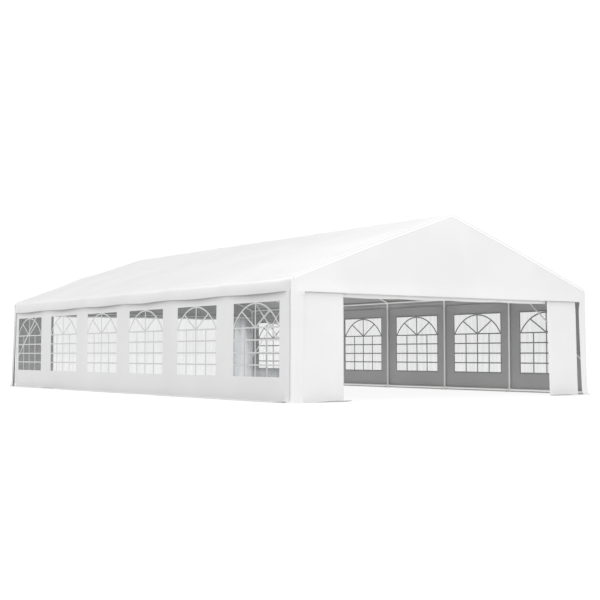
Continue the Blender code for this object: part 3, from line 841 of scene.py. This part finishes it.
def add_gable(end_name, end):
    """The triangle, its band over the doorway and a leg round each corner, in one sheet."""
    flat = CORNER_PLANE - CORNER_RADIUS
    bend = CORNER_RADIUS * pi / 2
    columns = []
    for side in (-1, 1):
        leg = LEGS[end_name, side]
        reach = flat + bend + leg["side"] - CORNER_RADIUS
        half = merged(spread(0, leg["inner"], 56), spread(leg["inner"], flat, 5),
                      spread(flat, flat + bend, 5), spread(flat + bend, flat + bend + 0.045, 9),
                      spread(flat + bend + 0.045, reach, 4))
        columns += [side * value for value in half]
    columns = merged(columns)
    lower = merged(spread(0, 0.12, 6), spread(0.12, GABLE_BOTTOM, 26))
    rows = [height - GABLE_BOTTOM for height in lower]
    rows += merged([0.02, 0.025], spread(0.05, 1, 20))

    def place(row, s):
        x, y, out = corner_plan(s)
        side = -1 if s < 0 else 1
        leg = LEGS[end_name, side]
        on_side = abs(s) > flat + bend
        if row > 0:
            top = SIDE_STRIP_TOP if on_side else cover_height(x) + sleeve_lift(x, end * y)
            z = GABLE_BOTTOM + (top - GABLE_BOTTOM) * row
        else:
            z = GABLE_BOTTOM + row
        low = 1 - min(z / GABLE_BOTTOM, 1)
        far = ease(abs(x), 0.9, 2.4)
        bulge = 0.006 * ripple(x * 1.1, z * 1.3, 11 + end) * (1 - ease(z, 1.9, 3.2) * 0.5)
        bulge += 0.0035 * ripple(x * 4.5, z * 1.2, 21 + end) * ease(low, 0.0, 0.3)
        near_top = ease(z, cover_height(x) - 0.12, cover_height(x) - 0.03)
        bulge = bulge * (1 - near_top) + 0.0028 * near_top
        bulge += 0.008 * low ** 2 + 0.05 * exp(-max(z, 0) / 0.035) * (row < 0)
        free = 1 - ease(abs(s), leg["inner"] - 0.1, flat - 0.03)
        bulge += GABLE_FLARE * exp(-(abs(z - GABLE_BOTTOM) / 0.11) ** 2) * free
        turned = abs(s) - flat - bend
        bulge -= CORNER_GROOVE * (ease(turned, 0.0, 0.005) - ease(turned, 0.03, 0.035))
        bulge += 0.004 * far * low * ripple(s * 9, z, 31 + end)
        lean = leg["lean"] * low * side * (1 - 0.8 * ease(abs(s), leg["inner"], flat))
        if row < 0 and leg["inner"] < leg["panel"]:
            rest = PANEL_PLANE - GABLE_PLANE + CLOTH + 0.008
            rest += panel_stand(end, side, leg["panel"], abs(s + lean), z)
            hold = ease(z, 0.04, 0.12) * (1 - ease(abs(s), leg["inner"], leg["inner"] + 0.12))
            bulge += (rest - bulge) * hold
        swing = leg["swing"] * low * ease(abs(s), flat - 0.2, flat)
        return Vector((x + out.x * bulge + lean, end * (y + out.y * bulge + swing), max(z, 0.001)))

    def keep(row, s):
        leg = LEGS[end_name, -1 if s < 0 else 1]
        return row > 0 or abs(s) > leg["inner"]

    sheet = add_sheet(f"{end_name}_gable_cloth", rows, columns, place, keep, (0, end, 0),
                      [f"{end_name}_gable", f"{end_name}_left_leg_cover", f"{end_name}_right_leg_cover"])


def foot_profile(t, raise_by):
    """Outward reach and height of a sheet whose foot turns out over the ground.

    t is 0 at the flap's edge and grows up the wall.
    """
    flat = FLAP - FLAP_BEND
    arc = FLAP_BEND * pi / 2
    if t < flat:
        return FLAP - t, 0.001 + raise_by * (1 - t / flat) ** 1.5
    if t < flat + arc:
        angle = (t - flat) / FLAP_BEND
        return FLAP_BEND * (1 - sin(angle)), 0.001 + FLAP_BEND * (1 - cos(angle))
    return 0.0, t - flat - arc + FLAP_BEND + 0.001


def foot_rows():
    """Rows of a flap by their length from its edge, and what such a length is more than the height."""
    flat = FLAP - FLAP_BEND
    arc = FLAP_BEND * pi / 2
    return spread(0, flat, 4) + spread(flat, flat + arc, 5)[1:], flat + arc - FLAP_BEND - 0.001


def wall_billow(side, y, z):
    """How far a wall's cloth stands out from the posts' line."""
    share = bay_share(y)
    belly = sin(pi * share) ** 0.7
    held = sin(pi * min(max(z / WALL_TOP, 0), 1)) ** 0.5
    out = WALL_BELLY * belly * held
    out += 0.005 * held * (1 + ripple(y * 1.3, z * 0.9, 40 + side))
    out += 0.0035 * (1 + ripple(y * 5.2, z * 0.7, 50 + side)) * (1 - ease(z, 0.35, 0.75) + ease(z, 1.66, 1.9))
    return out - WALL_RECESS * belly * ease(z, 1.68, WALL_TOP)


def add_wall(side_name, side):
    """One long sheet with six windows and a flap on the ground."""
    back = LEFT_WALL_BACK_END if side < 0 else WALL_END
    base, shift = foot_rows()
    heights = merged(spread(base[-1] - shift, 0.36, 5), [0.379, 0.384, 1.675, 1.68],
                     spread(WINDOW_BOTTOM, WINDOW_TOP, 18), spread(1.7, WALL_TOP, 5))
    rows = base + [height + shift for height in heights][1:]
    windows = [y + BAY / 2 for y in FRAME_PLACES[:-1]]
    exact = []
    for middle in windows:
        for reach in (WINDOW_WIDTH / 2, WINDOW_WIDTH / 2 + 0.028):
            exact += [middle - reach, middle + reach]
    columns = [y for y in spread(-WALL_END, back, 120) if all(abs(y - edge) > 0.02 for edge in exact)]
    columns = merged(columns, exact)

    def place(row, y):
        raise_by = 0.002 * (1 + ripple(y * 3.1, 1.0, 61 + side))
        for middle, half, height in LIFTS[side]:
            raise_by += height * (1 - ease(abs(y - middle), 0.0, half))
        out, z = foot_profile(row, raise_by)
        ends = ease(WALL_END - abs(y), 0.0, 0.14)
        out = out * (0.25 + 0.75 * ends)
        out += 0.012 * ripple(y * 1.7, out * 4, 62 + side) * ease(out, 0.0, 0.1)
        if row > base[-1]:
            out += wall_billow(side, y, z)
            z = min(z, WALL_TOP)
        else:
            out += wall_billow(side, y, 0.05) * ease(row, 0.05, base[-1])
        return Vector((side * (WALL_PLANE + out), y, z))

    def keep(row, y):
        z = row - shift
        if row <= base[-1] or not WINDOW_BOTTOM < z < WINDOW_TOP:
            return True
        return all(abs(y - middle) > WINDOW_WIDTH / 2 for middle in windows)

    sheet = add_sheet(f"{side_name}_wall_cloth", rows, columns, place, keep, (side, 0, 0),
                      [f"{side_name}_wall"])


def add_window_film(side_name, side):
    """Six panes welded behind the openings of a wall."""
    reach = WINDOW_WIDTH / 2 + FILM_MARGIN
    heights = spread(WINDOW_BOTTOM - FILM_MARGIN, WINDOW_TOP + FILM_MARGIN, 26)
    columns = []
    for y in FRAME_PLACES[:-1]:
        columns += spread(y + BAY / 2 - reach, y + BAY / 2 + reach, 24)

    def place(z, y):
        out = wall_billow(side, y, z) - CLOTH - 0.0006
        out += 0.0012 * ripple(y * 6, z * 2, 70 + side)
        return Vector((side * (WALL_PLANE + out), y, z))

    def keep(z, y):
        return abs(bay_share(y) - 0.5) * BAY < reach

    film = add_sheet(f"{side_name}_window_panes", heights, columns, place, keep, (side, 0, 0),
                     [f"{side_name}_window_film"], [WINDOW_FILM, WINDOW_FILM], FILM)
    bars = add_window_bars(side_name, side)


def bar_lines():
    """The window bars as lines of points (along, height), from the window's middle."""
    half = WINDOW_WIDTH / 2
    lines = []
    for height in (*BAR_HEIGHTS, SPRING_HEIGHT):
        lines.append([(along, height) for along in spread(-half, half, 20)])
    for along in (-COLUMN_STEP, 0, COLUMN_STEP):
        lines.append([(along, height) for height in spread(WINDOW_BOTTOM, SPRING_HEIGHT, 14)])
    rise = WINDOW_TOP - BAR_WIDTH / 2 - SPRING_HEIGHT
    radius = (half ** 2 + rise ** 2) / (2 * rise)
    opening = atan2(half, radius - rise)
    centre = SPRING_HEIGHT + rise - radius
    arch = [(radius * sin(a), centre + radius * cos(a)) for a in spread(-opening, opening, 32)]
    lines.append(arch)
    lines.append([(0, height) for height in spread(SPRING_HEIGHT, WINDOW_TOP - BAR_WIDTH, 6)])
    for side in (-1, 1):
        low = Vector((0, SPRING_HEIGHT))
        high = Vector((side * 0.438, centre + (radius ** 2 - 0.438 ** 2) ** 0.5))
        lines.append([tuple(low.lerp(high, share)) for share in spread(0, 1, 8)])
    return lines


def add_window_bars(side_name, side):
    """White strips welded on the outer face of the film."""
    shape = bmesh.new()
    for y in FRAME_PLACES[:-1]:
        middle = y + BAY / 2
        for number, line in enumerate(bar_lines()):
            stand = 0.0002 + 0.0001 * number
            rings = []
            for index, (along, height) in enumerate(line):
                before = Vector(line[max(index - 1, 0)])
                after = Vector(line[min(index + 1, len(line) - 1)])
                run = (after - before).normalized()
                run *= (BAR_WIDTH + (UPRIGHT_BAR_WIDTH - BAR_WIDTH) * abs(run.y)) / 2
                ring = []
                for turn, lift in ((-1, stand + 0.0008), (1, stand + 0.0008), (1, stand), (-1, stand)):
                    place_y = middle + along - run.y * turn
                    z = height + run.x * turn
                    z = min(max(z, WINDOW_BOTTOM - 0.01), WINDOW_TOP + 0.01)
                    out = wall_billow(side, place_y, z) - CLOTH + 0.0006
                    ring.append(shape.verts.new((side * (WALL_PLANE + out + lift), place_y, z)))
                rings.append(ring)
            for lower, upper in zip(rings, rings[1:]):
                for step in range(4):
                    after = (step + 1) % 4
                    face = shape.faces.new((lower[step], lower[after], upper[after], upper[step]))
                    # The face against the film takes the inside cloth, whose grey is painted shade
                    face.material_index = 1 if step == 2 else 0
            shape.faces.new(rings[0])
            shape.faces.new(rings[-1])
    bmesh.ops.recalc_face_normals(shape, faces=shape.faces)
    return finish_piece(f"{side_name}_window_bars", shape, [STRIP, INNER_CLOTH_PAINTED_SHADE], (), 40)


PANELS = [
    ("front_left_door_panel", -1, -1, FRONT_PANEL_WIDTH, PANEL_OUTER),
    ("front_right_door_panel", -1, 1, FRONT_PANEL_WIDTH, FRONT_RIGHT_PANEL_OUTER),
    ("back_left_door_panel", 1, -1, BACK_PANEL_WIDTH, PANEL_OUTER),
    ("back_right_door_panel", 1, 1, BACK_PANEL_WIDTH, PANEL_OUTER),
]


def add_door_panel(name, end, side, width, outer):
    """A plain panel beside a doorway, with its foot turned out over the ground."""
    inner = WALL_OUTER - width
    base, shift = foot_rows()
    rows = base + [height + shift for height in spread(base[-1] - shift, PANEL_TOP, 34)][1:]
    columns = merged([inner, inner + 0.008, inner + 0.018, inner + HEM, inner + HEM + 0.006],
                     spread(inner + 0.06, outer, 20))

    def place(row, s):
        along = (s - inner) / (outer - inner)
        raise_by = 0.004 + 0.024 * (1 - ease(along, 0.35, 0.8))
        out, z = foot_profile(row, raise_by)
        under_leg = 1 - ease(s, 3.10, 3.24)
        flap_share = ease(out, 0.01, 0.1)
        out = out * (0.2 + 0.8 * under_leg)
        out += panel_stand(end, side, outer, s, z)
        low = 1 - min(z / PANEL_TOP, 1)
        curl = 0.012 * (1 - ease(s, inner, inner + HEM)) ** 2 * ease(PANEL_TOP - z, 0.02, 0.2)
        spread_out = flap_share * 0.05 * (1 - ease(along, 0, 0.4))
        lean = 0.055 * low * side * (side > 0 and end < 0)
        x = side * (s - spread_out) + lean
        return Vector((x, end * (PANEL_PLANE + out - curl * (1 - flap_share)), z))

    sheet = add_sheet(f"{name}_cloth", rows, columns, place, lambda row, s: True, (0, end, 0), [name])


def add_rolled_door(end_name, end, reach):
    """A door rolled up under the crossbar, as one long spiral of cloth."""
    turns = (ROLL_RADIUS - ROLL_CORE) / ROLL_PITCH
    height = ROLL_HEIGHT - 0.002
    wraps = spread(0, turns, int(turns * 16))
    lead = [turns + 0.25 * step for step in (1, 2, 3)]
    columns = spread(-reach, reach, 56)

    def place(wrap, x):
        share = (x + reach) / (2 * reach)
        tie = abs(sin(pi * 4 * share))
        level = height - 0.01 * tie + 0.012 * (share - 0.5)
        size = 1 + 0.07 * ripple(x * 1.4, 0.3, 90 + end) - 0.05 * (1 - tie)
        if wrap > turns:
            step = (wrap - turns) / 0.25
            angle = 2 * pi * turns
            y = ROLL_PLACE + ROLL_RADIUS * size * cos(angle) * 0.9
            return Vector((x, end * y, level + ROLL_RADIUS * size * sin(angle) + 0.03 * step))
        radius = (ROLL_CORE + ROLL_PITCH * wrap) * size
        angle = 2 * pi * wrap
        return Vector((x, end * (ROLL_PLACE + radius * cos(angle)), level + radius * sin(angle)))

    sheet = add_sheet(f"{end_name}_door_roll", wraps + lead, columns, place, lambda wrap, x: True,
                      (0, end, 0), [f"{end_name}_rolled_door"], thickness=0.0006)


def add_door_ties(end_name, end, reach):
    """Tapes that hold the roll up to the crossbar."""
    radius = ROLL_RADIUS + 0.0035
    places = spread(-reach + 0.03, reach - 0.03, 4)
    columns = []
    for x in places:
        columns += [x - 0.0125, x, x + 0.0125]
    rows = spread(0, 0.99, 32)

    def place(row, x):
        angle = 2 * pi * row + pi
        lift = max(sin(angle), 0) * 0.03
        y = ROLL_PLACE + radius * cos(angle) * (1 - 0.3 * max(sin(angle), 0))
        return Vector((x, end * y, ROLL_HEIGHT + radius * sin(angle) + lift))

    def keep(row, x):
        return min(abs(x - centre) for centre in places) < 0.013

    ties = add_sheet(f"{end_name}_door_ties", rows, columns, place, keep, (0, end, 0), (),
                     [OUTER_CLOTH, OUTER_CLOTH], thickness=0.0012)


# Studio

def add_floor():
    """A plain white floor, far larger than the view."""
    shape = bmesh.new()
    bmesh.ops.create_grid(shape, x_segments=1, y_segments=1, size=400)
    mesh = bpy.data.meshes.new("floor")
    shape.to_mesh(mesh)
    shape.free()
    material, _, _ = new_material("white_floor_paint", Base_Color=linear("#6C6C6C"), Roughness=0.9,
                                  Specular_IOR_Level=0.0, Emission_Color=linear("#FFFFFF"),
                                  Emission_Strength=0.88)
    mesh.materials.append(material)
    floor = bpy.data.objects.new("floor", mesh)
    floor.location.z = -0.0005
    bpy.context.scene.collection.objects.link(floor)


# Each sun: its strength, how many degrees across it is, and the direction it shines from
SUNS = (
    ("key", 1.02, 28, (0.15, -0.95, 0.15)),
    ("fill", 0.28, 28, (-0.9, -0.3, 0.1)),
    ("rim", 0.7, 14, (-0.3, 0.7, 0.65)),
)


def aim(lamp, direction):
    """Turn a lamp or a camera, which look along their own -Z, to look along a direction."""
    lamp.rotation_mode = "QUATERNION"
    lamp.rotation_quaternion = Vector(direction).to_track_quat("-Z", "Y")
    bpy.context.scene.collection.objects.link(lamp)


def add_lights():
    """An even white surround, a broad key in front, a fill, a rim from behind and a softbox overhead."""
    world = bpy.data.worlds.new("studio")
    world.use_nodes = True
    background = world.node_tree.nodes["Background"]
    background.inputs["Color"].default_value = (1.0, 1.0, 1.0, 1.0)
    background.inputs["Strength"].default_value = 1.03
    bpy.context.scene.world = world
    for name, energy, angle, place in SUNS:
        data = bpy.data.lights.new(name, "SUN")
        data.energy = energy
        data.angle = radians(angle)
        aim(bpy.data.objects.new(name, data), -Vector(place))
    data = bpy.data.lights.new("softbox", "AREA")
    data.energy = 106
    data.size = 4
    lamp = bpy.data.objects.new("softbox", data)
    lamp.location = (-3, -7.5, 7.5)
    aim(lamp, (0.7, 2, -4.8))


def add_camera():
    """A camera low in front of the left corner, looking along the tent."""
    data = bpy.data.cameras.new("camera")
    data.sensor_width = 36
    data.lens = 68.68
    data.clip_end = 600
    camera = bpy.data.objects.new("camera", data)
    camera.location = (-13.837, -21.148, 0.7765)
    yaw = -0.6087
    pitch = 0.0477
    look = Vector((-sin(yaw) * cos(pitch), cos(yaw) * cos(pitch), sin(pitch)))
    aim(camera, look)
    bpy.context.scene.camera = camera


add_posts()
add_roof_frames()
add_long_tubes()
add_crossbars()
add_braces()
add_bolts()
add_roof_cover()
for end_name, end in ENDS:
    add_gable(end_name, end)
for side_name, side in SIDES:
    add_wall(side_name, side)
    add_window_film(side_name, side)
for name, end, side, width, outer in PANELS:
    add_door_panel(name, end, side, width, outer)
for (end_name, end), width in zip(ENDS, (FRONT_PANEL_WIDTH, BACK_PANEL_WIDTH)):
    reach = WALL_OUTER - width - ROLL_CLEARANCE
    add_rolled_door(end_name, end, reach)
    add_door_ties(end_name, end, reach)
add_floor()
add_lights()
add_camera()
bpy.context.scene.view_settings.view_transform = "Standard"
